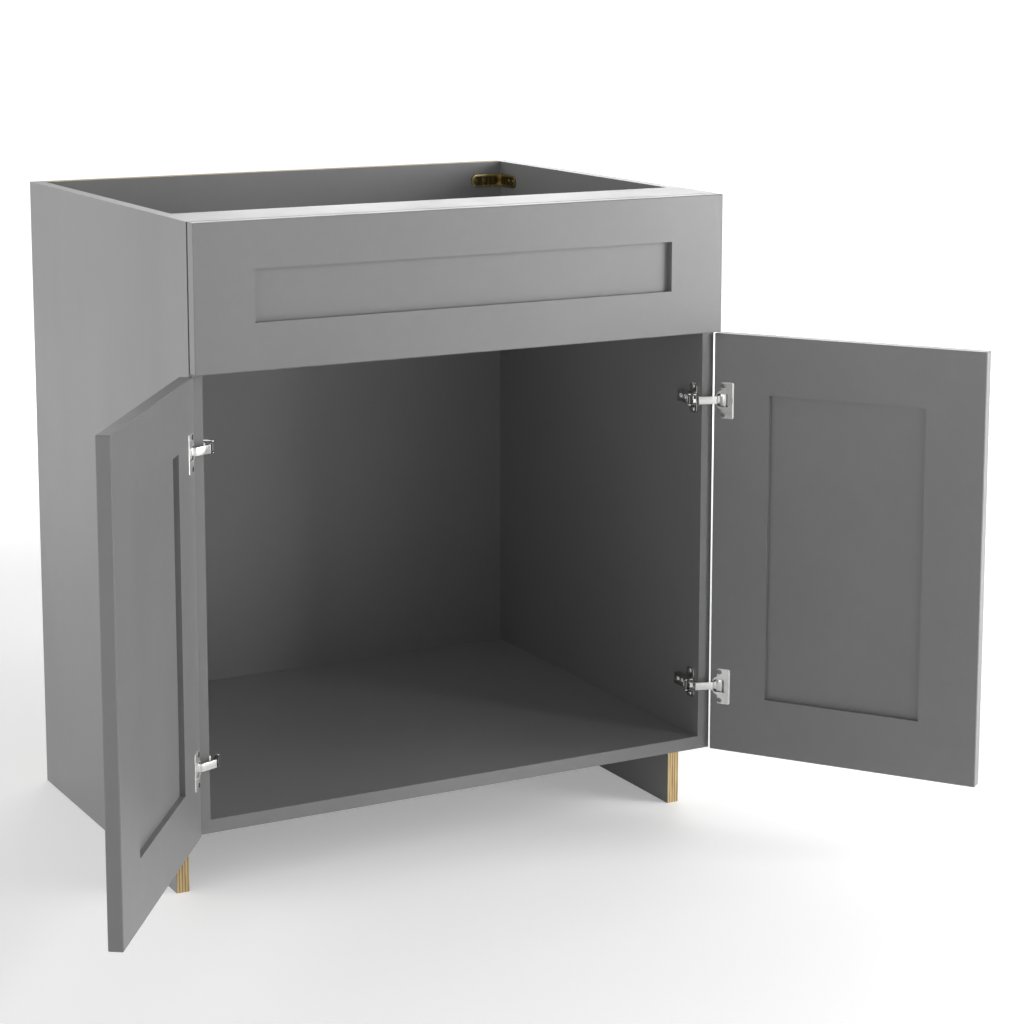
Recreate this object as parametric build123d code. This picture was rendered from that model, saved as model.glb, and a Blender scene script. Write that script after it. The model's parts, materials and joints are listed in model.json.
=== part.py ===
from build123d import *
import math
import os

os.makedirs("parts", exist_ok=True)

# ------------------------------------------------------------------ driving sizes, mm
# X runs to the viewer's right, Y from the doors to the wall, Z up. The origin is the
# middle of the cabinet's back edge on the floor, where the wall meets the floor.

WIDTH = 760.0  # over the two sides
DEPTH = 595.0  # carcass alone, without the fronts
HEIGHT = 876.0
PANEL = 17.5  # plywood of the sides, deck, back and front rail
TOE_HEIGHT = 102.5
TOE_DEPTH = 77.0
RAIL_DEPTH = 95.0  # the flat rail behind the top of the false front

FRONT_THICK = 18.0  # doors and false front
FRONT_GAP = 2.0  # between the carcass and the back of a closed front
REVEAL = 0.5  # a front's edge inside the cabinet's outer face
MEET_GAP = 3.0  # between the two doors, and between doors and false front
FALSE_HEIGHT = 186.5
STILE = 80.0
DOOR_RAIL = 80.0
FALSE_RAIL = 60.0
INNER_STEP = 7.0  # a door's panel lies this deep behind the inner face of the frame
FALSE_STEP = 5.0  # the same on the back of the false front
LOOSE_PANEL = 4.7  # the floating panel
GROOVE = 9.5  # depth of the groove round the panel
PANEL_FLOAT = 1.5  # room for the panel at the bottom of its groove
ARRIS = 1.0  # eased outer edges of doors and false front

DOWEL_R = 4.0
DOWEL_SIDES = 8  # fluted dowels and screws are drawn with flat sides
DOWEL_IN_SIDE = 11.0
DOWEL_IN_EDGE = 19.0
DECK_DOWEL_INSET = 50.0  # outer dowels from the deck's front and rear edges
RAIL_DOWEL_INSET = 25.0

# Hinges. The doors turn about an upright line beside the carcass corner, and each
# hinge's links keep to it as a parallelogram: the crank stays parallel to the line
# from the door's axis to the cup pivot, and the link moves without turning.
OPEN_ANGLE = 125.0  # fully open, as photographed
HINGE_INSET = 91.5  # hinge centre from the door's top or bottom edge
SWING_IN = 0.2  # the door's axis inside the cabinet's outer face
SWING_FRONT = 5.1  # and in front of the carcass
CUP_CENTRE = 15.3  # centre of the hinge bore from the door's edge
CUP_R = 13.0
CUP_DEPTH = 11.2
CUP_WALL = 0.6
CUP_SIDES = 24
CUP_FIT = 0.05
CUP_PIVOT_IN = 15.0  # cup pivot from the door's edge
CUP_PIVOT_DEEP = 3.0  # and below the door's inner face
ARM_PIVOT_OFF = 14.7  # arm pivot off the side's inner face
ARM_PIVOT_BACK = 8.4  # and behind the carcass front
LINK_TALL = 10.4
LINK_THICK = 1.3
LINK_BEND_OUT = 15.05  # the link's bend, out from the side's inner face at rest
LINK_BEND_FRONT = 13.2  # and in front of the carcass
EYE_R = 2.1
EYE_SIDES = 12
PIN_R = 1.25
PIN_FIT = 0.05
CRANK_THICK = 1.0
CRANK_R = 2.3
SIDE_PLAY = 0.2  # between flat faces of parts that turn on one pin
ARM_WALL = 1.2
ARM_LENGTH = 39.0  # from the arm pivot to the arm's rear end
ARM_SCREWS = (20.0, 31.0)  # adjusting screws behind the arm pivot
ARM_SCREW_LONG = 5.0
ARM_SCREW_HEAD = 1.6
ARM_WEB = 15.0  # the web starts this far behind the arm pivot, clear of the crank
ARM_TOP = 9.5  # the arm's smooth top, off the side's inner face
ARM_LIFT = 0.5  # the arm's walls above the mounting plate
ARM_NOSE = 0.2  # the walls' rounded front beyond the crank's end
FLANGE_TALL = 50.0
FLANGE_THICK = 1.0
FLANGE_NEAR = 10.4  # flange edges from the door's edge
FLANGE_FAR = 28.8
FLANGE_CORNER = 2.5
RIM_R = 14.3
POCKET_TALL = 17.6
CUP_SCREW_IN = 13.9
CUP_SCREW_SPACING = 40.0
CUP_SCREW_HEAD = 0.8  # low heads, which clear the side's edge when the door is shut
PLATE_TALL = 41.0
PLATE_WING = 18.0
PLATE_FRONT = 10.0  # front edge of the mounting plate behind the carcass front
PLATE_THICK = 2.0
PLATE_LENGTH = 36.0
PLATE_CORNER = 3.0
SPINE_TALL = 12.0
SPINE_START = 1.0  # the spine begins this far behind the plate's front edge
SPINE_EDGE = 2.0
PLATE_SCREW_SPACING = 32.0
SCREW_R = 1.75
SCREW_SIDES = 8
SCREW_LONG = 11.0
HEAD_R = 3.4
HEAD_THICK = 1.3

# Brass angle brackets
BRACKET_LEG = 50.0
BRACKET_TALL = 19.5
BRACKET_THICK = 2.0
BRACKET_DROP = 28.5  # bracket centre below the top edge
BRACKET_SCREWS = (29.0, 42.0)  # screw places along a leg
RIB_START = 5.0  # stiffening rib along a leg, from the corner
RIB_END = 24.0
RIB_THICK = 0.6

# ------------------------------------------------------------------ worked-out places
HALF = WIDTH / 2
SIDE_IN = -HALF + PANEL
FRONT_Y = -DEPTH
BACK_IN = -PANEL
DECK_TOP = TOE_HEIGHT + PANEL
DOOR_BOTTOM = TOE_HEIGHT
DOOR_TOP = HEIGHT - FALSE_HEIGHT - MEET_GAP
DOOR_HEIGHT = DOOR_TOP - DOOR_BOTTOM
DOOR_WIDTH = HALF - REVEAL - MEET_GAP / 2
FALSE_WIDTH = WIDTH - 2 * REVEAL
FRONT_BACK_Y = FRONT_Y - FRONT_GAP
HINGE_HEIGHTS = (DOOR_BOTTOM + HINGE_INSET, DOOR_TOP - HINGE_INSET)

POLE = Vector(-HALF + SWING_IN, FRONT_Y - SWING_FRONT)
DOOR_EDGE = Vector(-HALF + REVEAL, FRONT_BACK_Y)
ARM_PIVOT = Vector(SIDE_IN + ARM_PIVOT_OFF, FRONT_Y + ARM_PIVOT_BACK)
CUP_PIVOT = DOOR_EDGE + Vector(CUP_PIVOT_IN, -CUP_PIVOT_DEEP)
CUP_ARM = (CUP_PIVOT - POLE).rotate(Axis.Z, -OPEN_ANGLE)
LINK_INNER = ARM_PIVOT + CUP_ARM
LINK_OUTER = POLE + CUP_ARM
LINK_BEND = Vector(SIDE_IN - LINK_BEND_OUT, FRONT_Y - LINK_BEND_FRONT)
CRANK_IN_Z = LINK_TALL / 2 + SIDE_PLAY
CRANK_OUT_Z = CRANK_IN_Z + CRANK_THICK
ARM_IN_Z = CRANK_OUT_Z + SIDE_PLAY
ARM_OUT_Z = ARM_IN_Z + ARM_WALL


# ------------------------------------------------------------------ small helpers
def block(x, y, z):
    """A box between two limits on each axis."""
    size = Box(x[1] - x[0], y[1] - y[0], z[1] - z[0], align=Align.MIN)
    return Pos(x[0], y[0], z[0]) * size


def rod(start, direction, radius, length):
    """A round bar from a point, along a direction."""
    plane = Plane(origin=start, z_dir=direction)
    return plane * Cylinder(radius, length, align=(Align.CENTER, Align.CENTER, Align.MIN))


def prism(start, direction, radius, length, sides):
    """A bar with flat sides from a point, along a direction."""
    plane = Plane(origin=start, z_dir=direction)
    return extrude(plane * RegularPolygon(radius, sides), length, dir=plane.z_dir)


def upright(point, radius, low, high):
    """An upright round bar over a plan point."""
    return rod((point.X, point.Y, low), (0, 0, 1), radius, high - low)


def eye(point, radius, low, high):
    """An upright bar with flat sides over a plan point."""
    return prism((point.X, point.Y, low), (0, 0, 1), radius, high - low, EYE_SIDES)


def strap(start, end, radius, low, high):
    """An upright flat bar with blunt ends between two plan points."""
    along = (end - start).normalized() * radius
    across = Vector(-along.Y, along.X)
    corner = 0.414
    outline = [
        start + across - along * corner,
        start + across * corner - along,
        start - across * corner - along,
        start - across - along * corner,
        end - across + along * corner,
        end - across * corner + along,
        end + across * corner + along,
        end + across + along * corner,
    ]
    sketch = make_face(Polyline(*[(point.X, point.Y) for point in outline], close=True))
    return Pos(0, 0, low) * extrude(sketch, high - low, dir=(0, 0, 1))


def both_sides(solid):
    return [solid, mirror(solid, about=Plane.YZ)]


def pan_screw(point, direction, long=SCREW_LONG, head_thick=HEAD_THICK):
    """A pan-head screw whose head sits on a face at this point."""
    out = Vector(*direction)
    head = prism(point, direction, HEAD_R, head_thick, SCREW_SIDES)
    head = chamfer(head.faces().sort_by_distance(Vector(*point) + out * 99)[0].edges(), head_thick * 0.5)
    return head + prism(point, tuple(-out), SCREW_R, long, SCREW_SIDES)


def save(name, *solids):
    shape = solids[0] if len(solids) == 1 else Compound(children=list(solids))
    shape.label = name
    export_step(shape, f"parts/{name}.step")


# ------------------------------------------------------------------ brackets and screws
def bracket(corner_x, corner_y, turn_x, turn_y, height):
    """An angle bracket in a corner, its legs running along X and Y, with its screws."""
    half = BRACKET_TALL / 2
    leg = Pos(BRACKET_LEG / 2, BRACKET_THICK / 2) * Box(BRACKET_LEG, BRACKET_THICK, BRACKET_TALL)
    leg = chamfer(leg.edges().filter_by(Axis.Y).group_by(Axis.X)[-1], half * 0.5)
    face = (BRACKET_THICK, BRACKET_THICK + RIB_THICK)
    leg = leg + block((RIB_START, RIB_END), face, (-half / 2, half / 2))
    angle = leg + mirror(leg, about=Plane(origin=(0, 0, 0), z_dir=(1, -1, 0)))
    screws = []
    for place in BRACKET_SCREWS:
        screws.append(pan_screw((place, BRACKET_THICK, 0), (0, 1, 0)))
        screws.append(pan_screw((BRACKET_THICK, place, 0), (1, 0, 0)))
    for screw in screws:
        angle = angle - screw
    placed = []
    for solid in [angle, *screws]:
        if turn_x < 0:
            solid = mirror(solid, about=Plane.YZ)
        if turn_y < 0:
            solid = mirror(solid, about=Plane.XZ)
        placed.append(Pos(corner_x, corner_y, height) * solid)
    return placed[0], placed[1:]


corner_brackets = bracket(SIDE_IN, BACK_IN, 1, -1, HEIGHT - BRACKET_DROP)
FALSE_BRACKET_Z = DOOR_TOP + MEET_GAP + FALSE_RAIL / 2
false_brackets = bracket(SIDE_IN, FRONT_BACK_Y, 1, 1, FALSE_BRACKET_Z)


# ------------------------------------------------------------------ dowels
def dowel_row(places, height):
    """Dowels through a side's inner face, along X, at these depths."""
    start = SIDE_IN - DOWEL_IN_SIDE
    long = DOWEL_IN_SIDE + DOWEL_IN_EDGE
    return [prism((start, y, height), (1, 0, 0), DOWEL_R, long, DOWEL_SIDES) for y in places]


deck_dowels = dowel_row(
    [FRONT_Y + DECK_DOWEL_INSET, (FRONT_Y + BACK_IN) / 2, BACK_IN - DECK_DOWEL_INSET],
    TOE_HEIGHT + PANEL / 2,
)
rail_dowels = dowel_row(
    [FRONT_Y + RAIL_DOWEL_INSET, FRONT_Y + RAIL_DEPTH - RAIL_DOWEL_INSET],
    HEIGHT - PANEL / 2,
)
back_dowels = []
for fraction in (0.15, 0.5, 0.85):
    back_dowels += dowel_row([BACK_IN / 2], HEIGHT * fraction)


# ------------------------------------------------------------------ hinge mounting
def mounting_plate(height):
    """Cross-shaped plate on the side's inner face, with the spine that holds the arm."""
    x0 = SIDE_IN
    y0 = FRONT_Y + PLATE_FRONT
    wing = block((x0, x0 + PLATE_THICK), (y0, y0 + PLATE_WING), (-PLATE_TALL / 2, PLATE_TALL / 2))
    wing = chamfer(wing.edges().filter_by(Axis.X), PLATE_CORNER)
    spine_top = SIDE_IN + ARM_TOP - ARM_WALL
    length = (y0 + SPINE_START, y0 + PLATE_LENGTH)
    spine = block((x0, spine_top), length, (-SPINE_TALL / 2, SPINE_TALL / 2))
    spine = chamfer(spine.edges().filter_by(Axis.Z).group_by(Axis.X)[-1], SPINE_EDGE)
    plate = Pos(0, 0, height) * (wing + spine)
    for screw in [*plate_screws(height), *arm_screws(height)]:
        plate = plate - screw
    return plate


def plate_screws(height):
    y = FRONT_Y + PLATE_FRONT + PLATE_WING / 2
    half = PLATE_SCREW_SPACING / 2
    x = SIDE_IN + PLATE_THICK
    return [pan_screw((x, y, height + z), (1, 0, 0)) for z in (-half, half)]


def hinge_arm(height):
    """Channel that clips over the spine and carries the riveted arm pin at its front."""
    rear = ARM_PIVOT.Y + ARM_LENGTH
    low = SIDE_IN + PLATE_THICK + ARM_LIFT
    top = SIDE_IN + ARM_TOP
    nose = CRANK_R + ARM_NOSE
    with BuildSketch() as side_view:
        with BuildLine():
            Polyline(
                (low, rear),
                (top, rear),
                (top, ARM_PIVOT.Y + ARM_WEB - ARM_WALL),
                (ARM_PIVOT.X + nose, ARM_PIVOT.Y + 4),
                (ARM_PIVOT.X + nose, ARM_PIVOT.Y),
                (ARM_PIVOT.X, ARM_PIVOT.Y - nose),
                (ARM_PIVOT.X - nose, ARM_PIVOT.Y - nose * 0.4),
                (low, ARM_PIVOT.Y + 5),
                close=True,
            )
        make_face()
        with Locations((ARM_PIVOT.X, ARM_PIVOT.Y)):
            RegularPolygon(nose, EYE_SIDES)
    wall = extrude(side_view.sketch, ARM_WALL)
    walls = Pos(0, 0, ARM_IN_Z) * wall + Pos(0, 0, -ARM_OUT_Z) * wall
    web_front = ARM_PIVOT.Y + ARM_WEB
    web = block((top - ARM_WALL, top), (web_front, rear), (-ARM_OUT_Z, ARM_OUT_Z))
    arm = walls + web
    arm = arm + upright(ARM_PIVOT, PIN_R, -ARM_IN_Z - ARM_WALL / 2, ARM_IN_Z + ARM_WALL / 2)
    for screw in arm_screws(0):
        arm = arm - screw
    return Pos(0, 0, height) * arm


def arm_screws(height):
    """The two adjusting screws in the arm's top."""
    x = SIDE_IN + ARM_TOP
    places = [ARM_PIVOT.Y + place for place in ARM_SCREWS]
    return [pan_screw((x, y, height), (1, 0, 0), ARM_SCREW_LONG, ARM_SCREW_HEAD) for y in places]


def crank(height):
    """Two flat cheeks, the barrel that turns on the arm pin, and the pin riveted between."""
    cheek = strap(ARM_PIVOT, LINK_INNER, CRANK_R, CRANK_IN_Z, CRANK_OUT_Z)
    barrel = eye(ARM_PIVOT, EYE_R, -CRANK_IN_Z, CRANK_IN_Z)
    body = cheek + mirror(cheek, about=Plane.XY) + barrel
    body = body - upright(ARM_PIVOT, PIN_R + PIN_FIT, -CRANK_OUT_Z, CRANK_OUT_Z)
    rivet = CRANK_IN_Z + CRANK_THICK / 2
    return Pos(0, 0, height) * (body + upright(LINK_INNER, PIN_R, -rivet, rivet))


def link(height):
    """The bright strip seen in front of the carcass edge, with an eye at each end."""
    half = LINK_TALL / 2
    along = (LINK_BEND - LINK_INNER).normalized()
    forward = Vector(-along.Y, along.X)
    if forward.Y > 0:
        forward = forward * -1
    tangent = LINK_INNER + forward * (EYE_R - LINK_THICK / 2)
    body = strap(tangent, LINK_BEND, LINK_THICK / 2, -half, half)
    body = body + strap(LINK_BEND, LINK_OUTER, LINK_THICK / 2, -half, half)
    for pivot in (LINK_INNER, LINK_OUTER):
        body = body + eye(pivot, EYE_R, -half, half)
    for pivot in (LINK_INNER, LINK_OUTER):
        body = body - upright(pivot, PIN_R + PIN_FIT, -half, half)
    return Pos(0, 0, height) * body


# ------------------------------------------------------------------ hinge cup, door closed
def cup(height):
    """Pressed cup with its screw flange and riveted pin, in the door's inner face."""
    centre = DOOR_EDGE + Vector(CUP_CENTRE, 0)
    face = (centre.X, centre.Y, 0)
    floor = CUP_DEPTH - CUP_FIT
    body = prism(face, (0, -1, 0), CUP_R - CUP_FIT, floor, CUP_SIDES)
    rim = prism(face, (0, 1, 0), RIM_R, FLANGE_THICK, CUP_SIDES)
    far = DOOR_EDGE.X + FLANGE_FAR
    near = DOOR_EDGE.X + FLANGE_NEAR
    ears = block((near, far), (centre.Y, centre.Y + FLANGE_THICK), (-FLANGE_TALL / 2, FLANGE_TALL / 2))
    ears = chamfer(ears.edges().filter_by(Axis.Y), FLANGE_CORNER)
    rim = rim & block((near - RIM_R, far), (centre.Y, centre.Y + FLANGE_THICK), (-RIM_R, RIM_R))
    top = (centre.X, centre.Y + FLANGE_THICK, 0)
    pocket = prism(top, (0, -1, 0), CUP_R - CUP_WALL, floor - CUP_WALL + FLANGE_THICK, CUP_SIDES)
    half = POCKET_TALL / 2
    depth = (centre.Y - CUP_DEPTH, centre.Y + FLANGE_THICK)
    window = block((centre.X - CUP_R, centre.X + CUP_R), depth, (-half, half))
    body = body + rim + ears - (pocket & window)
    rivet = half + CUP_WALL / 2
    body = body + upright(CUP_PIVOT, PIN_R, -rivet, rivet)
    for screw in cup_screws(0):
        body = body - screw
    return Pos(0, 0, height) * body


def cup_screws(height):
    x = DOOR_EDGE.X + CUP_SCREW_IN
    y = DOOR_EDGE.Y + FLANGE_THICK
    half = CUP_SCREW_SPACING / 2
    places = [(x, y, height + z) for z in (-half, half)]
    return [pan_screw(place, (0, 1, 0), head_thick=CUP_SCREW_HEAD) for place in places]


def cup_bores(height):
    centre = DOOR_EDGE + Vector(CUP_CENTRE, 0)
    bore = prism((centre.X, centre.Y, height), (0, -1, 0), CUP_R, CUP_DEPTH, CUP_SIDES)
    return [bore, *cup_screws(height)]


# ------------------------------------------------------------------ framed fronts
def framed_front(width, height, rail, step):
    """Stiles, rails and floating panel of a front whose back face lies at Y = 0."""
    blank = block((0, width), (-FRONT_THICK, 0), (0, height))
    blank = chamfer(blank.edges(), ARRIS)
    slot = (-step - LOOSE_PANEL, -step)
    inner = (STILE, width - STILE)
    stile = block((0, STILE), (-FRONT_THICK, 0), (0, height))
    stile = stile - block((STILE - GROOVE, STILE), slot, (0, height))
    near_stile = stile & blank
    far_stile = (Pos(width, 0, 0) * mirror(stile, about=Plane.YZ)) & blank
    tongue = GROOVE - PANEL_FLOAT / 2
    lower = block(inner, (-FRONT_THICK, 0), (0, rail))
    lower = lower + block((inner[0] - tongue, inner[1] + tongue), slot, (0, rail - GROOVE))
    lower = lower - block(inner, slot, (rail - GROOVE, rail))
    upper = Pos(0, 0, height) * mirror(lower, about=Plane.XY)
    reach = GROOVE - PANEL_FLOAT
    loose = block((inner[0] - reach, inner[1] + reach), slot, (rail - reach, height - rail + reach))
    return near_stile, far_stile, lower & blank, upper & blank, loose


# ------------------------------------------------------------------ carcass
with BuildSketch(Plane.YZ) as side_outline:
    with BuildLine():
        Polyline(
            (0, 0),
            (0, HEIGHT),
            (FRONT_Y, HEIGHT),
            (FRONT_Y, TOE_HEIGHT),
            (FRONT_Y + TOE_DEPTH, TOE_HEIGHT),
            (FRONT_Y + TOE_DEPTH, 0),
            close=True,
        )
    make_face()
left_side = Pos(-HALF, 0, 0) * extrude(side_outline.sketch, PANEL)
for hole in [*deck_dowels, *rail_dowels, *back_dowels, *corner_brackets[1], *false_brackets[1]]:
    left_side = left_side - hole
for level in HINGE_HEIGHTS:
    for hole in plate_screws(level):
        left_side = left_side - hole
save("left_side", left_side)
save("right_side", mirror(left_side, about=Plane.YZ))


def between_sides(y, z, holes):
    """A panel between the sides, drilled alike at both ends."""
    panel = block((SIDE_IN, -SIDE_IN), y, z)
    for hole in holes:
        for solid in both_sides(hole):
            panel = panel - solid
    return panel


save("bottom_deck", between_sides((FRONT_Y, BACK_IN), (TOE_HEIGHT, DECK_TOP), deck_dowels))
save("back_panel", between_sides((BACK_IN, 0), (0, HEIGHT), [*back_dowels, *corner_brackets[1]]))
save("front_rail", between_sides((FRONT_Y, FRONT_Y + RAIL_DEPTH), (HEIGHT - PANEL, HEIGHT), rail_dowels))


def save_pairs(name, solids):
    """One node holding these left-hand pieces and their right-hand twins."""
    save(name, *[twin for solid in solids for twin in both_sides(solid)])


save_pairs("deck_dowels", deck_dowels)
save_pairs("rail_dowels", rail_dowels)
save_pairs("back_dowels", back_dowels)
for name, (angle, screws) in (("corner", corner_brackets), ("false_front", false_brackets)):
    for side, solid in zip(("left", "right"), both_sides(angle)):
        save(f"{side}_{name}_bracket", solid)
    save_pairs(f"{name}_bracket_screws", screws)

# ------------------------------------------------------------------ false front
false_front = framed_front(FALSE_WIDTH, FALSE_HEIGHT, FALSE_RAIL, FALSE_STEP)
false_place = Pos(-FALSE_WIDTH / 2, FRONT_BACK_Y, DOOR_TOP + MEET_GAP)
false_names = ["left_stile", "right_stile", "bottom_rail", "top_rail", "panel"]
for name, piece in zip(false_names, false_front):
    piece = false_place * piece
    for screw in false_brackets[1]:
        for solid in both_sides(screw):
            if name in ("left_stile", "right_stile"):
                piece = piece - solid
    save(f"false_front_{name}", piece)

# ------------------------------------------------------------------ doors
door = framed_front(DOOR_WIDTH, DOOR_HEIGHT, DOOR_RAIL, INNER_STEP)
door_place = Pos(DOOR_EDGE.X, DOOR_EDGE.Y, DOOR_BOTTOM)
open_door = Pos(POLE.X, POLE.Y, 0) * Rot(0, 0, -OPEN_ANGLE) * Pos(-POLE.X, -POLE.Y, 0)
door_names = ["hinge_stile", "free_stile", "bottom_rail", "top_rail", "panel"]
for name, piece in zip(door_names, door):
    piece = door_place * piece
    if name == "hinge_stile":
        for level in HINGE_HEIGHTS:
            for bore in cup_bores(level):
                piece = piece - bore
    for side, solid in zip(("left", "right"), both_sides(open_door * piece)):
        save(f"{side}_door_{name}", solid)

# ------------------------------------------------------------------ hinges
pieces = {"plate": mounting_plate, "arm": hinge_arm, "crank": crank, "link": link, "cup": cup}
for place, level in zip(("lower", "upper"), HINGE_HEIGHTS):
    for name, make in pieces.items():
        solid = make(level)
        if name == "cup":
            solid = open_door * solid
        for side, twin in zip(("left", "right"), both_sides(solid)):
            save(f"{side}_{place}_hinge_{name}", twin)

save_pairs("hinge_plate_screws", [s for level in HINGE_HEIGHTS for s in plate_screws(level)])
save_pairs("hinge_arm_screws", [s for level in HINGE_HEIGHTS for s in arm_screws(level)])


def save_by_side(name, solids):
    """A left-hand and a right-hand node, each holding one set of these pieces."""
    save(f"left_{name}", *solids)
    save(f"right_{name}", *[mirror(solid, about=Plane.YZ) for solid in solids])


save_by_side("cup_screws", [open_door * s for level in HINGE_HEIGHTS for s in cup_screws(level)])
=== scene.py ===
"""Looks for the sink base cabinet: painted plywood, nickel hinges and brass brackets."""

import json
import math

import bmesh
import bpy
from mathutils import Matrix, Vector


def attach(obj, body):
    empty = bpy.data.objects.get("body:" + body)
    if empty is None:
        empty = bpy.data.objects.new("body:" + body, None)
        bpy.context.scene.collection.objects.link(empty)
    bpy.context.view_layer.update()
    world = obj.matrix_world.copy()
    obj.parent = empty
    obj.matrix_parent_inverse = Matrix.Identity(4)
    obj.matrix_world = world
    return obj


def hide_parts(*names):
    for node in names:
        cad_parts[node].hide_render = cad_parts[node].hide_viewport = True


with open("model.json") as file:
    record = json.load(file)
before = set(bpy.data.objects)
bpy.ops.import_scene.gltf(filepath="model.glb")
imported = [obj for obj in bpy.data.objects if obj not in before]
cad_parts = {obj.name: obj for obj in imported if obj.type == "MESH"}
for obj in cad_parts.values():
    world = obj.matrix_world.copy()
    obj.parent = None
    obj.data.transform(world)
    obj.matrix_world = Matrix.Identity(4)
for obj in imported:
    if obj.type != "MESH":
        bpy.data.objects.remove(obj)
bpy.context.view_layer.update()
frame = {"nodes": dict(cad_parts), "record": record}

# ------------------------------------------------------------------ camera
CAMERA_PLACE = (-1.5182, -3.5071, 1.2123)
CAMERA_YAW = math.radians(28.376)
CAMERA_PITCH = math.radians(-9.215)
CAMERA_LENS = 90.8
CAMERA_SHIFT = (0.0091, -0.15)


def make_camera():
    data = bpy.data.cameras.new("photo_camera")
    data.lens = CAMERA_LENS
    data.sensor_width = 36.0
    data.shift_x, data.shift_y = CAMERA_SHIFT
    data.clip_start, data.clip_end = 0.1, 200.0
    camera = bpy.data.objects.new("photo_camera", data)
    camera.location = CAMERA_PLACE
    camera.rotation_euler = (math.pi / 2 + CAMERA_PITCH, 0.0, -CAMERA_YAW)
    bpy.context.scene.collection.objects.link(camera)
    bpy.context.scene.camera = camera


# ------------------------------------------------------------------ shader writing
class Value:
    """A socket holding one number for each point; Python's operators add Math nodes to it."""

    def __init__(self, finish, socket):
        self.finish = finish
        self.socket = socket

    def maths(self, operation, *others):
        settings = {"operation": operation}
        return self.finish.node("ShaderNodeMath", settings, [self, *others])

    def __add__(self, other):
        return self.maths("ADD", other)

    def __sub__(self, other):
        return self.maths("SUBTRACT", other)

    def __mul__(self, other):
        return self.maths("MULTIPLY", other)

    def near(self, level, reach):
        """One within reach of a level, otherwise zero."""
        return self.maths("COMPARE", level, reach)

    def above(self, level):
        return self.maths("GREATER_THAN", level)

    def below(self, level):
        return self.maths("LESS_THAN", level)

    def ramp(self, low, high):
        """Rises smoothly from zero at low to one at high."""
        settings = {"interpolation_type": "SMOOTHSTEP"}
        inputs = {"Value": self, "From Min": low, "From Max": high}
        return self.finish.node("ShaderNodeMapRange", settings, inputs)


class Finish:
    """A material under construction."""

    def __init__(self, name):
        self.material = bpy.data.materials.new(name)
        self.material.use_nodes = True
        self.tree = self.material.node_tree
        self.shader = self.tree.nodes["Principled BSDF"]
        self.place = self.node("ShaderNodeTexCoord", {}, {}, "Object")

    def node(self, kind, settings, inputs, output=0):
        """One node of a kind, with its settings made first and then its inputs."""
        made = self.tree.nodes.new(kind)
        for name, setting in settings.items():
            setattr(made, name, setting)
        pairs = inputs.items() if isinstance(inputs, dict) else enumerate(inputs)
        for name, given in pairs:
            self.feed(made.inputs[name], given)
        return Value(self, made.outputs[output])

    def feed(self, socket, given):
        if isinstance(given, Value):
            self.tree.links.new(given.socket, socket)
        elif socket.type == "RGBA":
            socket.default_value = (*given, 1.0)
        else:
            socket.default_value = given

    def set(self, **inputs):
        """Feeds the shader's own sockets, with spaces in their names written as low lines."""
        for name, given in inputs.items():
            self.feed(self.shader.inputs[name.replace("_", " ")], given)

    def axes(self):
        """The three parts of the place on the piece."""
        split = {"Vector": self.place}
        return [self.node("ShaderNodeSeparateXYZ", {}, split, axis) for axis in "XYZ"]

    def noise(self, scale, detail=3.0, stretch=(1.0, 1.0, 1.0), roughness=0.55):
        where = self.node("ShaderNodeMapping", {}, {"Vector": self.place, "Scale": stretch})
        inputs = {"Vector": where, "Scale": scale, "Detail": detail, "Roughness": roughness}
        return self.node("ShaderNodeTexNoise", {}, inputs, 0)

    def mix(self, share, first, second):
        """A colour between two colours."""
        inputs = {"Factor": share, 6: first, 7: second}
        return self.node("ShaderNodeMix", {"data_type": "RGBA"}, inputs, 2)

    def bump(self, height, depth):
        """A surface that rises by up to a depth in metres where the height is one."""
        inputs = {"Height": height, "Distance": depth, "Strength": 1.0}
        return self.node("ShaderNodeBump", {}, inputs)


def linear(red, green, blue):
    """A colour as read off a screen, 0 to 255, in the renderer's linear terms."""
    scale = [part / 255 for part in (red, green, blue)]
    return tuple(p / 12.92 if p <= 0.04045 else ((p + 0.055) / 1.055) ** 2.4 for p in scale)


# ------------------------------------------------------------------ finishes
PAINT_DARK = linear(123, 123, 123)
PAINT_LIGHT = linear(129, 129, 129)
TOE_FRONT = -0.518
TOE_HEIGHT = 0.1025
CABINET_TOP = 0.876
VENEER = 0.0175 / 9
LEFT_SIDE_START, RIGHT_SIDE_START = -0.38, 0.3625  # each side's leftmost face
SKIN = 0.0002  # a point this near a plane lies on that face
LACQUER_IOR = 1.5
PEEL_DEPTH = 0.00004
DRAWING_DEPTH = 0.00001
GRIT_DEPTH = 0.00002
FLECK_DEPTH = 0.00005


def paint_coat(finish):
    """Sprayed satin lacquer: faint mottling, orange peel and soft smears."""
    clouds = finish.noise(3.0, 4.0).ramp(0.3, 0.7)
    fine = finish.noise(60.0, 3.0).ramp(0.25, 0.75)
    colour = finish.mix(clouds * 0.7 + fine * 0.3, PAINT_DARK, PAINT_LIGHT)
    smears = finish.noise(7.0, 3.0, (1.0, 1.0, 0.35)).ramp(0.35, 0.75)
    roughness = smears * 0.06 + fine * 0.03 + 0.36
    peel = finish.noise(900.0, 2.0)
    return colour, roughness, finish.bump(peel, PEEL_DEPTH)


def painted_wood(name):
    finish = Finish(name)
    colour, roughness, normal = paint_coat(finish)
    finish.set(Base_Color=colour, Roughness=roughness, Normal=normal, IOR=LACQUER_IOR)
    return finish.material


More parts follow.
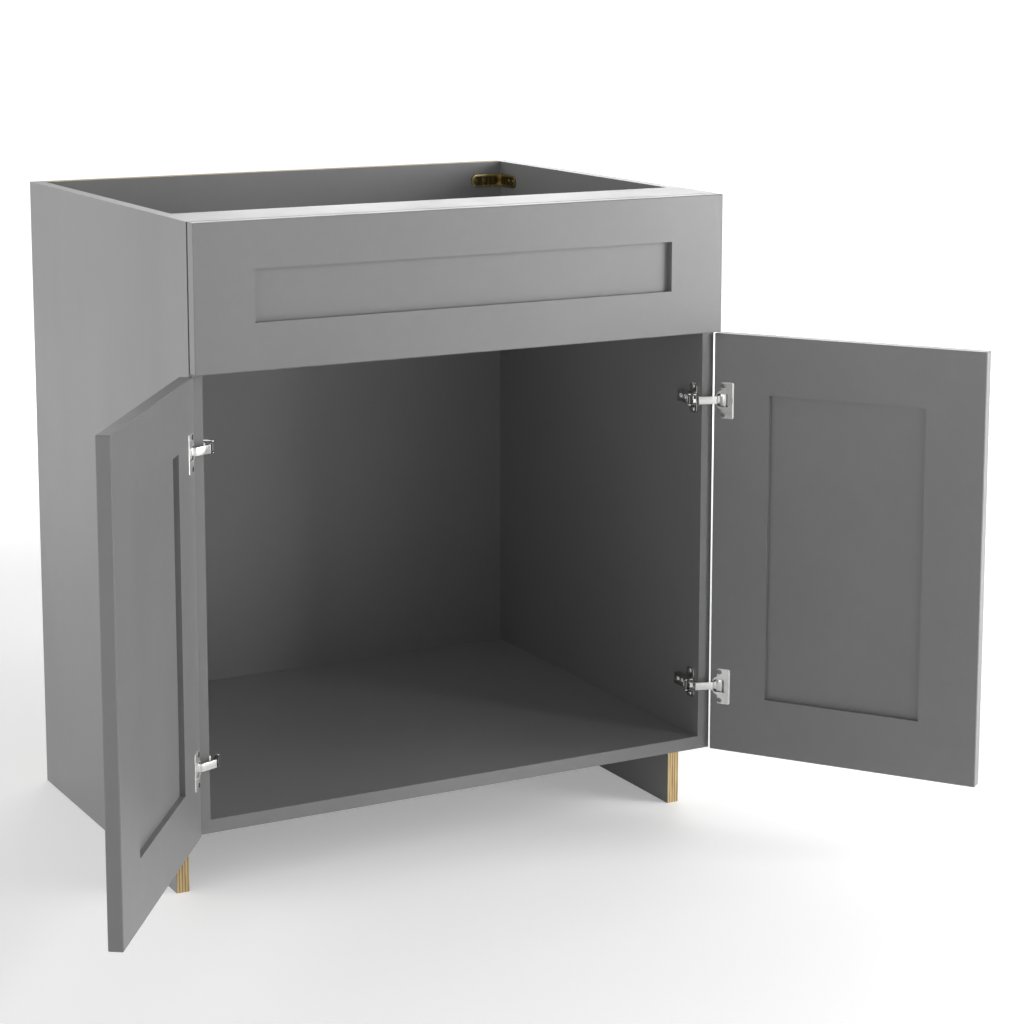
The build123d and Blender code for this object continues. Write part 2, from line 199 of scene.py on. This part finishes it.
def ply_layers(finish, across):
    """Bare plywood edge: nine veneers across the sheet, light and dark by turns."""
    grain = finish.noise(40.0, 4.0, (6.0, 6.0, 0.6)).ramp(0.2, 0.8)
    sheet = across.maths("PINGPONG", VENEER) * (1.0 / VENEER)
    turn = (sheet + grain * 0.25).ramp(0.35, 0.65)
    pale = finish.mix(grain, linear(188, 162, 112), linear(212, 190, 142))
    dark = finish.mix(grain, linear(118, 92, 58), linear(158, 130, 84))
    return finish.mix(turn, dark, pale)


def show_wood(finish, coat, bare, wood):
    """Feeds the lacquer to the shader, with wood in its place where it is bare."""
    colour, roughness, normal = coat
    finish.set(
        Base_Color=finish.mix(bare, colour, wood),
        Roughness=roughness + bare * 0.3,
        Normal=normal,
        IOR=LACQUER_IOR,
    )
    return finish.material


def painted_side(name, first_veneer):
    """Painted side panel, bare plywood at the toe notch and on the bottom and rear edges."""
    finish = Finish(name)
    x, y, z = finish.axes()
    coat = paint_coat(finish)
    notch = y.near(TOE_FRONT, SKIN) * z.below(TOE_HEIGHT)
    bottom = z.below(SKIN)
    rear = y.above(-SKIN)
    bare = (notch + bottom + rear).maths("MINIMUM", 1.0)
    return show_wood(finish, coat, bare, ply_layers(finish, x - first_veneer))


def painted_back(name):
    """Painted back panel whose top and bottom edges are bare plywood, the top one paler: a painted
    highlight for the light catching it from above.
    """
    finish = Finish(name)
    _, y, z = finish.axes()
    coat = paint_coat(finish)
    top = z.above(CABINET_TOP - SKIN)
    bare = (top + z.below(SKIN)).maths("MINIMUM", 1.0)
    # The top edge's plywood is mixed half with pale cream, a painted highlight for the light that
    # catches that edge from above.
    wood = finish.mix(top * 0.5, ply_layers(finish, y), linear(238, 228, 198))
    return show_wood(finish, coat, bare, wood)


def nickel(name, shade, rough, metallic=1.0):
    """Nickel plate with faint drawing marks and handling haze; satin where it is less metallic."""
    finish = Finish(name)
    haze = finish.noise(120.0, 3.0).ramp(0.3, 0.75)
    marks = finish.noise(900.0, 2.0, (1.0, 1.0, 0.06))
    darker = (shade, shade, shade * 0.985)
    lighter = (shade * 1.12, shade * 1.11, shade * 1.08)
    colour = finish.mix(haze, darker, lighter)
    finish.set(
        Base_Color=colour,
        Metallic=metallic,
        Roughness=haze * 0.06 + rough,
        Normal=finish.bump(marks, DRAWING_DEPTH),
    )
    return finish.material


SIDE_RIM, BACK_RIM, FRONT_RIM = 0.3605, -0.0195, -0.595  # raised faces of the angle brackets
RIM_REACH = 0.0003  # a point this near one of them lies on it


def antique_brass(name):
    """Bronzed brass: dark in the sunk middle, rubbed brighter on the raised rim."""
    finish = Finish(name)
    x, y, _ = finish.axes()
    side_rim = x.maths("ABSOLUTE").near(SIDE_RIM, RIM_REACH)
    rims = side_rim + y.near(BACK_RIM, RIM_REACH) + y.near(FRONT_RIM, RIM_REACH)
    raised = rims.maths("MINIMUM", 1.0)
    drawn = finish.noise(260.0, 3.0, (1.0, 1.0, 0.12)).ramp(0.35, 0.75)
    rubbed = raised * 0.65 + drawn * 0.35
    colour = finish.mix(rubbed, linear(70, 61, 36), linear(160, 146, 102))
    grit = finish.noise(1400.0, 2.0)
    finish.set(
        Base_Color=colour,
        Metallic=1.0,
        Roughness=rubbed * -0.12 + 0.38,
        Normal=finish.bump(grit, GRIT_DEPTH),
    )
    return finish.material


def beech(name):
    """Pale dowel wood with short flecks."""
    finish = Finish(name)
    flecks = finish.noise(700.0, 3.0, (0.15, 1.0, 1.0)).ramp(0.35, 0.7)
    colour = finish.mix(flecks, linear(186, 146, 104), linear(214, 180, 138))
    relief = finish.bump(flecks, FLECK_DEPTH)
    finish.set(Base_Color=colour, Roughness=flecks * 0.1 + 0.6, Normal=relief)
    return finish.material


def dress(material, *nodes):
    for node in nodes:
        slots = frame["nodes"][node].material_slots
        for slot in slots:
            slot.material = material


# ------------------------------------------------------------------ studio
def lamp(name, place, aim, size, power):
    data = bpy.data.lights.new(name, "AREA")
    data.shape = "RECTANGLE"
    data.size, data.size_y = size
    data.energy = power
    light = bpy.data.objects.new(name, data)
    light.location = place
    direction = Vector(aim) - Vector(place)
    light.rotation_euler = direction.to_track_quat("-Z", "Y").to_euler()
    bpy.context.scene.collection.objects.link(light)


WORLD_LEVEL = 0.148
FLOOR_GLOW = 0.3  # added to the lit floor where it is looked at
FLOOR_FADE = (1.0, 3.0)  # the floor turns to the plain white backdrop between these
FLOOR_RADIUS = 60.0
FLOOR_SHADE = (0.86, 0.86, 0.86)
WHITE = (1.0, 1.0, 1.0, 1.0)
LAMPS = [  # place, what it points at, size, power
    ("right_near_softbox", (1.9, -2.2, 1.1), (0.2, -0.6, 0.6), (1.2, 1.6), 46.0),
    ("right_low_softbox", (2.4, -1.6, 0.9), (0.2, -0.6, 0.6), (1.6, 1.6), 24.0),
    ("left_side_softbox", (-4.0, -0.3, 1.0), (-0.3, -0.3, 0.5), (2.4, 2.0), 44.0),
    ("left_far_softbox", (-5.0, -3.5, 1.5), (0.0, -0.6, 0.6), (3.0, 3.0), 42.0),
    ("left_back_softbox", (-3.4, 1.6, 2.2), (-0.2, -0.3, 0.5), (1.8, 2.4), 24.0),
    ("low_back_softbox", (2.6, 3.2, 1.7), (0.0, -0.3, 0.6), (3.0, 1.6), 38.0),
    ("high_back_softbox", (0.8, 2.6, 2.9), (0.0, -0.3, 0.6), (3.6, 1.8), 14.0),
    ("top_softbox", (0.0, -0.4, 3.6), (0.0, -0.3, 0.4), (3.0, 3.0), 9.0),
    ("front_low_softbox", (0.8, -5.0, 0.8), (0.0, -0.3, 0.4), (2.4, 1.2), 8.0),
]


def seen_directly(tree):
    """One for rays from the camera or by way of metal and glass, otherwise zero."""
    path = tree.nodes.new("ShaderNodeLightPath")
    total = path.outputs["Is Camera Ray"]
    for way in ("Is Glossy Ray", "Is Transmission Ray"):
        larger = tree.nodes.new("ShaderNodeMath")
        larger.operation = "MAXIMUM"
        tree.links.new(total, larger.inputs[0])
        tree.links.new(path.outputs[way], larger.inputs[1])
        total = larger.outputs[0]
    return total


def make_world():
    world = bpy.data.worlds.new("studio")
    bpy.context.scene.world = world
    world.use_nodes = True
    tree = world.node_tree
    back = tree.nodes["Background"]
    seen = tree.nodes.new("ShaderNodeBackground")
    blend = tree.nodes.new("ShaderNodeMixShader")
    back.inputs["Color"].default_value = WHITE
    back.inputs["Strength"].default_value = WORLD_LEVEL
    seen.inputs["Color"].default_value = WHITE
    seen.inputs["Strength"].default_value = 1.0
    tree.links.new(seen_directly(tree), blend.inputs[0])
    tree.links.new(back.outputs[0], blend.inputs[1])
    tree.links.new(seen.outputs[0], blend.inputs[2])
    tree.links.new(blend.outputs[0], tree.nodes["World Output"].inputs[0])


def make_floor():
    form = bmesh.new()
    bmesh.ops.create_circle(form, cap_ends=True, segments=64, radius=FLOOR_RADIUS)
    mesh = bpy.data.meshes.new("studio_floor")
    form.to_mesh(mesh)
    form.free()
    floor = bpy.data.objects.new("studio_floor", mesh)
    bpy.context.scene.collection.objects.link(floor)
    finish = Finish("studio_floor")
    spread = finish.node("ShaderNodeVectorMath", {"operation": "LENGTH"}, {0: finish.place}, 1)
    far = spread.ramp(*FLOOR_FADE)
    glow = (far * (1.0 - FLOOR_GLOW) + FLOOR_GLOW) * Value(finish, seen_directly(finish.tree))
    finish.set(Base_Color=FLOOR_SHADE, Roughness=0.7, Emission_Color=glow, Emission_Strength=1.0)
    mesh.materials.append(finish.material)


def make_studio():
    make_world()
    make_floor()
    for name, place, aim, size, power in LAMPS:
        lamp(name, place, aim, size, power)
    bpy.context.scene.view_settings.view_transform = "Standard"


# ------------------------------------------------------------------ shaping
MM = 0.001
SHARP = 0.6  # edges that turn by more than this, in radians, are rounded
PLANE_REACH = 0.01  # an edge this near a plane lies in it
SMOOTH_BELOW = math.radians(40)
CUP_SMOOTH_BELOW = math.radians(13)  # keeps the flange's slopes apart from its flat face
MIRROR = Matrix.Diagonal((-1.0, 1.0, 1.0, 1.0))
UP = (0, 0, 1)


def block(low, high):
    """A box between two corners."""
    form = bmesh.new()
    size = Vector(high) - Vector(low)
    middle = Matrix.Translation((Vector(high) + Vector(low)) / 2)
    bmesh.ops.create_cube(form, size=1.0, matrix=middle @ Matrix.Diagonal((*size, 1.0)))
    return form


def round_bar(start, direction, radius, length, sides=48, end_radius=None):
    """A round bar from a point, along a direction, or a cone where its end has its own radius."""
    form = bmesh.new()
    turn = Vector(direction).to_track_quat("Z", "Y").to_matrix().to_4x4()
    place = Matrix.Translation(start) @ turn @ Matrix.Translation((0, 0, length / 2))
    bmesh.ops.create_cone(
        form,
        cap_ends=True,
        segments=sides,
        radius1=radius,
        radius2=radius if end_radius is None else end_radius,
        depth=length,
        matrix=place,
    )
    return form


def soften(form, width, chosen=None, steps=2):
    """Rounds the chosen edges, or every sharp one."""
    if chosen is None:
        chosen = [edge for edge in form.edges if edge.calc_face_angle(0.0) > SHARP]
    bmesh.ops.bevel(
        form,
        geom=chosen,
        offset=width,
        offset_type="OFFSET",
        segments=steps,
        profile=0.5,
        affect="EDGES",
        material=-1,
        clamp_overlap=True,
    )
    return form


def along(form, axis):
    """The edges of a form that run along an axis."""

    def run(edge):
        return abs((edge.verts[1].co - edge.verts[0].co).normalized()[axis])

    return [edge for edge in form.edges if run(edge) > 0.999]


def rim(form, axis, level):
    """The edges of a form that lie in one plane."""
    return [
        edge
        for edge in form.edges
        if all(abs(vert.co[axis] - level) < PLANE_REACH for vert in edge.verts)
    ]


def combined(first, second, operation):
    """The outcome of a Boolean operation on two closed forms, which are used up."""
    holders = []
    for form in (first, second):
        mesh = bpy.data.meshes.new("blank")
        form.to_mesh(mesh)
        form.free()
        holder = bpy.data.objects.new("blank", mesh)
        bpy.context.scene.collection.objects.link(holder)
        holders.append(holder)
    work = holders[0].modifiers.new("work", "BOOLEAN")
    work.operation, work.solver, work.object = operation, "EXACT", holders[1]
    whole = bpy.data.meshes.new_from_object(
        holders[0].evaluated_get(bpy.context.evaluated_depsgraph_get())
    )
    form = bmesh.new()
    form.from_mesh(whole)
    for mesh in (whole, *[holder.data for holder in holders]):
        bpy.data.meshes.remove(mesh)
    bmesh.ops.remove_doubles(form, verts=form.verts, dist=0.002)
    return form


def joined(first, second):
    return combined(first, second, "UNION")


def cut(first, second):
    return combined(first, second, "DIFFERENCE")


def common(first, second):
    return combined(first, second, "INTERSECT")


def add(form, other, place=None):
    """Puts a second form beside the first in one mesh."""
    mesh = bpy.data.meshes.new("blank")
    other.to_mesh(mesh)
    if place is not None:
        mesh.transform(place)
        if place.determinant() < 0:
            mesh.flip_normals()
    form.from_mesh(mesh)
    bpy.data.meshes.remove(mesh)
    return form


class Strip:
    """Sheet metal under bending: an upright edge led along, one move after another."""

    def __init__(self, start, heading, tall):
        self.form = bmesh.new()
        self.place = Vector(start)
        self.heading = heading
        ends = [self.form.verts.new((start.x, start.y, z)) for z in (-tall / 2, tall / 2)]
        self.edge = [self.form.edges.new(ends)]

    def direction(self):
        return Vector((math.cos(self.heading), math.sin(self.heading), 0.0))

    def straight(self, length, tall=None):
        """Leads the edge straight on, to another height if one is given."""
        made = bmesh.ops.extrude_edge_only(self.form, edges=self.edge)["geom"]
        ends = [part for part in made if isinstance(part, bmesh.types.BMVert)]
        step = self.direction() * length
        bmesh.ops.translate(self.form, verts=ends, vec=step)
        if tall:
            for end in ends:
                end.co.z = math.copysign(tall / 2, end.co.z)
        self.edge = [part for part in made if isinstance(part, bmesh.types.BMEdge)]
        self.place += step
        return self

    def turn(self, angle, radius, steps=8):
        """Leads the edge round a bend, to the left where the angle is positive."""
        across = Vector((-math.sin(self.heading), math.cos(self.heading), 0.0))
        centre = self.place + across * math.copysign(radius, angle)
        edge = self.edge + list(self.edge[0].verts)
        made = bmesh.ops.spin(
            self.form, geom=edge, cent=centre, axis=(0.0, 0.0, 1.0), angle=angle, steps=steps
        )["geom_last"]
        self.edge = [part for part in made if isinstance(part, bmesh.types.BMEdge)]
        self.heading += angle
        self.place = centre + Matrix.Rotation(angle, 3, "Z") @ (self.place - centre)
        return self

    def plate(self, face, thick):
        """The strip as sheet metal, its outer face towards the given direction."""
        form = self.form
        bmesh.ops.recalc_face_normals(form, faces=form.faces)
        form.faces.ensure_lookup_table()
        if form.faces[0].normal.dot(face) < 0:
            bmesh.ops.reverse_faces(form, faces=form.faces)
        bmesh.ops.solidify(form, geom=form.faces, thickness=thick)
        bmesh.ops.recalc_face_normals(form, faces=form.faces)
        return form


# ------------------------------------------------------------------ small parts, in mm
# Each form is the left-hand one at height zero; the sizes are the CAD's own.
HINGE_LEVELS = (194.0, 595.0)
SIDE_FACE = -362.5  # inner face of the left side
CARCASS_FRONT = -595.0
DOOR_EDGE = Vector((-379.5, -597.0, 0.0))  # hinge edge of the closed door's inner face
OPEN_ANGLE = math.radians(-125.0)
LINK_TALL, LINK_WIDE, LINK_THICK, LINK_EYE, LINK_BEND = 10.4, 16.0, 1.3, 2.1, 1.8
PIN, PIN_HOLE = 1.25, 1.3
BEND_OUT, BEND_FRONT = 15.05, 13.2  # the link's bend off the side's inner face and the front
TONGUE, FLARE = 8.7, 0.9  # the link's wide end in the cup, and the length it widens over
CUP_PIVOT = Vector((15.0, -3.0, 0.0))  # from the door's edge, as are the sizes of the cup
CUP_MIDDLE = 15.3
CUP_SCREW = (13.9, 1.0, 20.0)  # across, on the flange's face, and off the middle
CUP_SIDES = 96
BOWL_R, BOWL_FLOOR, BOWL_TALL = 12.95, -11.1, 11.6
DISC_R, DISC_START, DISC_TALL, DISC_FAR = 14.3, -0.5, 1.5, 20.0
FLANGE_NEAR, FLANGE_FAR, FLANGE_HALF, FLANGE_THICK, FLANGE_CORNER = 10.4, 28.8, 25.0, 1.0, 2.5
COLLAR_R, COLLAR_START, COLLAR_TALL, COLLAR_TOP = 13.5, 0.5, 0.9, 1.4
COLLAR_FAR, COLLAR_HALF = 23.5, 9.9
POCKET_R, POCKET_FLOOR, POCKET_HALF = 12.4, -10.5, 8.8
STEP_START, STEP_TOP, STEP_EASE = 18.2, -0.3, 2.4
FAR_SLOPES = ((26.8, 1.0, -14.0), (27.7, 0.8, -36.0))  # where each slope starts, and its fall
PRESSED = 0.3  # rounding of pressed edges
CHEEK_R, CHEEK_THICK, CHEEK_LOWS = 2.3, 1.0, (-6.4, 5.4)
BARREL_R, BARREL_HALF, RIVET_HALF = 2.1, 5.4, 6.5
SCREW_HEAD, SCREW_SHANK = 3.4, 1.75
CROSS_HALVES, CROSS_DEEP = ((2.2, 0.5), (0.5, 2.2)), 0.6
POINT_R, POINT_LONG = 0.4, 3.0
LEG_LONG, LEG_THICK, LEG_HALF, LEG_END, LEG_EASE = 50.0, 2.0, 9.75, 8.0, 0.5
SUNK_START, SUNK_END, SUNK_HALF, SUNK_FLOOR, SUNK_CORNER = 6.5, 46.5, 6.4, 1.3, 5.0


def joint_place(name):
    joints = frame["record"]["behaviour"]["joints"]
    x, y, _ = next(joint["pos_m"] for joint in joints if joint["name"] == name)
    return Vector((x / MM, y / MM, 0.0))


POLE = joint_place("left_door_swing")
ARM_PIVOT = joint_place("left_crank_turn")
LINK_INNER = joint_place("left_link_turn")
OPEN = (
    Matrix.Translation(POLE)
    @ Matrix.Rotation(OPEN_ANGLE, 4, "Z")
    @ Matrix.Translation(DOOR_EDGE - POLE)
)


def cup_form():
    """Pressed cup: eared flange, raised lip, pocket with a step, and the riveted pin."""
    out = (0.0, 1.0, 0.0)
    disc = round_bar((CUP_MIDDLE, DISC_START, 0), out, DISC_R, DISC_TALL, CUP_SIDES)
    soften(disc, PRESSED, rim(disc, 1, FLANGE_THICK))
    disc = common(disc, block((0, 0, -20), (DISC_FAR, 2, 20)))
    ears = block((FLANGE_NEAR, 0, -FLANGE_HALF), (FLANGE_FAR, FLANGE_THICK, FLANGE_HALF))
    soften(ears, FLANGE_CORNER, along(ears, 1), 8)
    soften(ears, PRESSED, rim(ears, 1, FLANGE_THICK))
    for x, y, fall in FAR_SLOPES:
        slope = block((0, 0, -30), (6, 3, 30))
        lie = Matrix.Translation((x, y, 0.0)) @ Matrix.Rotation(math.radians(fall), 4, "Z")
        bmesh.ops.transform(slope, verts=slope.verts, matrix=lie)
        ears = cut(ears, slope)
    bowl = round_bar((CUP_MIDDLE, BOWL_FLOOR, 0), out, BOWL_R, BOWL_TALL, CUP_SIDES)
    shell = joined(joined(disc, ears), bowl)
    collar = round_bar((CUP_MIDDLE, COLLAR_START, 0), out, COLLAR_R, COLLAR_TALL, CUP_SIDES)
    soften(collar, PRESSED, rim(collar, 1, COLLAR_TOP))
    window = block((0, 0, -COLLAR_HALF), (COLLAR_FAR, 2, COLLAR_HALF))
    shell = joined(shell, common(collar, window))
    pocket = round_bar((CUP_MIDDLE, POCKET_FLOOR, 0), out, POCKET_R, 13.0, CUP_SIDES)
    pocket = common(pocket, block((0, -12, -POCKET_HALF), (30, 3, POCKET_HALF)))
    step = block((STEP_START, -12, -9), (30, STEP_TOP, 9))
    lip = [edge for edge in along(step, 2) if edge.verts[0].co.x < 19 and edge.verts[0].co.y > -1]
    shell = cut(shell, cut(pocket, soften(step, STEP_EASE, lip, 1)))
    for height in (-CUP_SCREW[2], CUP_SCREW[2]):
        shell = cut(shell, round_bar((CUP_SCREW[0], -1, height), out, SCREW_SHANK, 4.0, 24))
    return add(shell, round_bar((CUP_PIVOT.x, CUP_PIVOT.y, -9.0), UP, PIN, 18.0, 32))


def link_form():
    """The bright strap: bent down into the cup, wide there, with an eye at each end."""
    outer = OPEN @ CUP_PIVOT
    lie = Matrix.Rotation(OPEN_ANGLE, 3, "Z")
    bend = Vector((SIDE_FACE - BEND_OUT, CARCASS_FRONT - BEND_FRONT, 0.0))
    ahead = (bend - LINK_INNER).normalized()
    face = Vector((-ahead.y, ahead.x, 0.0))
    stops = [
        LINK_INNER + face * LINK_EYE,
        bend + face * LINK_THICK / 2,
        outer + lie @ Vector((-TONGUE, LINK_EYE, 0.0)),
        outer + lie @ Vector((0.0, LINK_EYE, 0.0)),
    ]
    legs = [after - before for before, after in zip(stops, stops[1:])]
    headings = [math.atan2(leg.y, leg.x) for leg in legs]
    turns = [math.remainder(b - a, math.tau) for a, b in zip(headings, headings[1:])]
    ease = [LINK_BEND * math.tan(abs(turn) / 2) for turn in turns]
    strap = Strip(stops[0], headings[0], LINK_TALL)
    strap.straight(legs[0].length - ease[0]).turn(turns[0], LINK_BEND)
    strap.straight(legs[1].length - ease[0] - ease[1]).turn(turns[1], LINK_BEND)
    strap.straight(FLARE, LINK_WIDE).straight(legs[2].length - ease[1] - FLARE)
    form = strap.plate(face, LINK_THICK)
    soften(form, 0.25)
    for pivot, tall in ((LINK_INNER, LINK_TALL), (outer, LINK_WIDE)):
        bar = round_bar(pivot - Vector((0, 0, tall / 2)), UP, LINK_EYE, tall)
        form = joined(form, soften(bar, 0.2, rim(bar, 2, tall / 2) + rim(bar, 2, -tall / 2)))
    for pivot in (LINK_INNER, outer):
        form = cut(form, round_bar(pivot - Vector((0, 0, 12)), UP, PIN_HOLE, 24.0, 32))
    return form


def crank_form():
    """Two flat cheeks with round ends, a barrel on the arm pin and a rivet for the link."""

    def bored(solid):
        drill = round_bar(ARM_PIVOT - Vector((0, 0, 8)), UP, PIN_HOLE, 16.0, 32)
        return cut(solid, drill)

    reach = LINK_INNER - ARM_PIVOT
    heading = Matrix.Rotation(math.atan2(reach.y, reach.x), 4, "Z")
    lie = Matrix.Translation(ARM_PIVOT) @ heading
    form = bmesh.new()
    for low in CHEEK_LOWS:
        cheek = round_bar((0, 0, low), UP, CHEEK_R, CHEEK_THICK, 40)
        far = [vert for vert in cheek.verts if vert.co.x > 0]
        bmesh.ops.translate(cheek, verts=far, vec=(reach.length, 0, 0))
        soften(cheek, 0.2, rim(cheek, 2, low) + rim(cheek, 2, low + CHEEK_THICK))
        bmesh.ops.transform(cheek, verts=cheek.verts, matrix=lie)
        add(form, bored(cheek))
    barrel = round_bar(ARM_PIVOT - Vector((0, 0, BARREL_HALF)), UP, BARREL_R, 2 * BARREL_HALF, 40)
    add(form, bored(barrel))
    rivet = round_bar(LINK_INNER - Vector((0, 0, RIVET_HALF)), UP, PIN, 2 * RIVET_HALF, 32)
    soften(rivet, 0.3, rim(rivet, 2, RIVET_HALF) + rim(rivet, 2, -RIVET_HALF))
    return add(form, rivet)


def screw_form(long, head):
    """Pan-head screw with a cross recess; the head stands on a face at the origin."""
    top = round_bar((0, 0, 0), UP, SCREW_HEAD, head, 32)
    soften(top, head * 0.6, rim(top, 2, head), 4)
    for half_x, half_y in CROSS_HALVES:
        slot = block((-half_x, -half_y, head - CROSS_DEEP), (half_x, half_y, head + 1))
        top = cut(top, slot)
    point = round_bar((0, 0, -long), UP, POINT_R, POINT_LONG, 16, SCREW_SHANK)
    shank = round_bar((0, 0, POINT_LONG - long), UP, SCREW_SHANK, long - POINT_LONG, 16)
    return add(add(top, shank), point)


def bracket_form():
    """Stamped angle bracket: legs along X and Y with round ends and a sunk middle."""
    leg = block((0, 0, -LEG_HALF), (LEG_LONG, LEG_THICK, LEG_HALF))
    soften(leg, LEG_END, [edge for edge in along(leg, 1) if edge.verts[0].co.x > 1], 8)
    face_edges = rim(leg, 1, LEG_THICK)
    outer = [edge for edge in face_edges if edge.verts[0].co.x + edge.verts[1].co.x > 1]
    soften(leg, LEG_EASE, outer)
    sunk = block((SUNK_START, SUNK_FLOOR, -SUNK_HALF), (SUNK_END, 3, SUNK_HALF))
    soften(sunk, SUNK_CORNER, along(sunk, 1), 6)
    leg = cut(leg, sunk)
    swap = Matrix(((0, 1, 0, 0), (1, 0, 0, 0), (0, 0, 1, 0), (0, 0, 0, 1)))
    return joined(leg, add(bmesh.new(), leg.copy(), swap))


def eased(node, width):
    """A copy of a CAD node, its flat faces whole again and its sharp edges rounded."""
    form = bmesh.new()
    form.from_mesh(frame["nodes"][node].data)
    bmesh.ops.scale(form, verts=form.verts, vec=(1 / MM, 1 / MM, 1 / MM))
    bmesh.ops.remove_doubles(form, verts=form.verts, dist=0.005)
    bmesh.ops.dissolve_limit(form, angle_limit=0.02, verts=form.verts, edges=form.edges)
    return soften(form, width)


# ------------------------------------------------------------------ putting small parts in place
def body_of(node):
    bodies = frame["record"]["behaviour"]["bodies"]
    return next(body for body, nodes in bodies.items() if node in nodes)


def piece(name, form, material, node, smooth=SMOOTH_BELOW):
    """Makes a form in mm a finished piece that stands for a CAD node and moves with it."""
    bmesh.ops.scale(form, verts=form.verts, vec=(MM, MM, MM))
    mesh = bpy.data.meshes.new(name)
    form.to_mesh(mesh)
    form.free()
    mesh.shade_smooth()
    mesh.set_sharp_from_angle(angle=smooth)
    mesh.materials.append(material)
    made = bpy.data.objects.new(name, mesh)
    bpy.context.scene.collection.objects.link(made)
    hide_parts(node)
    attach(made, body_of(node))


def set_on(point, direction, turned=0.0):
    """Where something that stands along Z goes to stand on a face instead."""
    turn = Vector(direction).to_track_quat("Z", "Y").to_matrix().to_4x4()
    return Matrix.Translation(point) @ turn @ Matrix.Rotation(turned, 4, "Z")


def screw_set(name, form, places, halves, material, node):
    """Copies of one screw in all their places, their crosses turned at odds."""
    whole = bmesh.new()
    for half in halves:
        for index, place in enumerate(places):
            add(whole, form, half @ place @ Matrix.Rotation(0.7 * index, 4, "Z"))
    piece(name, whole, material, node)


HALVES = {"left": Matrix.Identity(4), "right": MIRROR}
PLATE_THICK, PLATE_SCREW_BACK, PLATE_SCREW_OFF = 2.0, 19.0, 16.0
ARM_TOP, ARM_SCREWS_BACK = 9.5, (20.0, 31.0)
LONG_SCREW, LOW_HEAD = 11.0, 0.8
BACK_FACE, FALSE_FRONT_FACE = -17.5, -597.0
CORNER_LEVEL, FALSE_FRONT_LEVEL = 847.5, 719.5
LEG_SCREWS = (29.0, 42.0)  # from the bracket's corner


def fit_hinges(bright, polished, shaded_nickel, zinc):
    """The four hinges, then all their screws."""
    still = Matrix.Identity(4)
    forms = {
        "cup": (cup_form(), bright, OPEN, CUP_SMOOTH_BELOW),
        "link": (link_form(), bright, still, SMOOTH_BELOW),
        # the crank wears nickel darkened all over: painted shade for the shadow it lies in behind
        # the strap
        "crank": (crank_form(), shaded_nickel, still, SMOOTH_BELOW),
    }
    for side, half in HALVES.items():
        for height, level in zip(("lower", "upper"), HINGE_LEVELS):
            raised = half @ Matrix.Translation((0, 0, level))
            for part, (form, material, lie, smooth) in forms.items():
                node = f"{side}_{height}_hinge_{part}"
                placed = add(bmesh.new(), form, raised @ lie)
                piece(f"{side}_{height}_{part}", placed, material, node, smooth)
            for part, width in (("arm", 0.25), ("plate", 0.3)):
                node = f"{side}_{height}_hinge_{part}"
                piece(f"{side}_{height}_{part}", eased(node, width), polished, node)
    plate_places, arm_places, cup_places = [], [], []
    for level in HINGE_LEVELS:
        for height in (-PLATE_SCREW_OFF, PLATE_SCREW_OFF):
            point = (SIDE_FACE + PLATE_THICK, CARCASS_FRONT + PLATE_SCREW_BACK, level + height)
            plate_places.append(set_on(point, (1, 0, 0)))
        for back in ARM_SCREWS_BACK:
            point = (SIDE_FACE + ARM_TOP, ARM_PIVOT.y + back, level)
            arm_places.append(set_on(point, (1, 0, 0)))
        for height in (-CUP_SCREW[2], CUP_SCREW[2]):
            point = (CUP_SCREW[0], CUP_SCREW[1], level + height)
            cup_places.append(OPEN @ set_on(point, (0, 1, 0)))
    both = list(HALVES.values())
    plate_screw, arm_screw = screw_form(LONG_SCREW, 1.3), screw_form(5.0, 1.6)
    screw_set("plate_screws", plate_screw, plate_places, both, polished, "hinge_plate_screws")
    screw_set("arm_screws", arm_screw, arm_places, both, polished, "hinge_arm_screws")
    for side, half in HALVES.items():
        node = f"{side}_cup_screws"
        low_screw = screw_form(LONG_SCREW, LOW_HEAD)
        screw_set(f"{side}_flange_screws", low_screw, cup_places, [half], zinc, node)


def fit_brackets(brass):
    """Each angle bracket with its screws: the corner pair and the false front's pair."""
    pairs = {
        "corner": ((SIDE_FACE, BACK_FACE, CORNER_LEVEL), -1.0),
        "false_front": ((SIDE_FACE, FALSE_FRONT_FACE, FALSE_FRONT_LEVEL), 1.0),
    }
    form = bracket_form()
    for pair, (corner, turn) in pairs.items():
        stand = Matrix.Translation(corner) @ Matrix.Diagonal((1.0, turn, 1.0, 1.0))
        for side, half in HALVES.items():
            node = f"{side}_{pair}_bracket"
            piece(f"{side}_{pair}_angle", add(bmesh.new(), form, half @ stand), brass, node)
        places = []
        for reach in LEG_SCREWS:
            places.append(stand @ set_on((reach, SUNK_FLOOR, 0), (0, 1, 0)))
            places.append(stand @ set_on((SUNK_FLOOR, reach, 0), (1, 0, 0)))
        both = list(HALVES.values())
        node = f"{pair}_bracket_screws"
        screw_set(f"{pair}_screw_set", screw_form(10.0, 1.3), places, both, brass, node)


# ------------------------------------------------------------------ dressing the cabinet
def dress_cabinet():
    dress(painted_wood("grey_lacquer"), *frame["nodes"])
    dress(painted_side("grey_side_left", LEFT_SIDE_START), "left_side")
    dress(painted_side("grey_side_right", RIGHT_SIDE_START), "right_side")
    dress(painted_back("grey_back"), "back_panel")
    dress(beech("beech_dowel"), "deck_dowels", "rail_dowels", "back_dowels")
    bright = nickel("bright_nickel", 0.66, 0.1, 0.5)
    polished = nickel("polished_nickel", 0.5, 0.05)
    # The crank's nickel is darkened all over: painted shade, for the shadow it lies in between the
    # strap and the plate.
    shaded_nickel = nickel("crank_shade_nickel", 0.12, 0.16)
    fit_hinges(bright, polished, shaded_nickel, nickel("screw_zinc", 0.17, 0.2))
    fit_brackets(antique_brass("antique_brass"))


make_camera()
make_studio()
dress_cabinet()
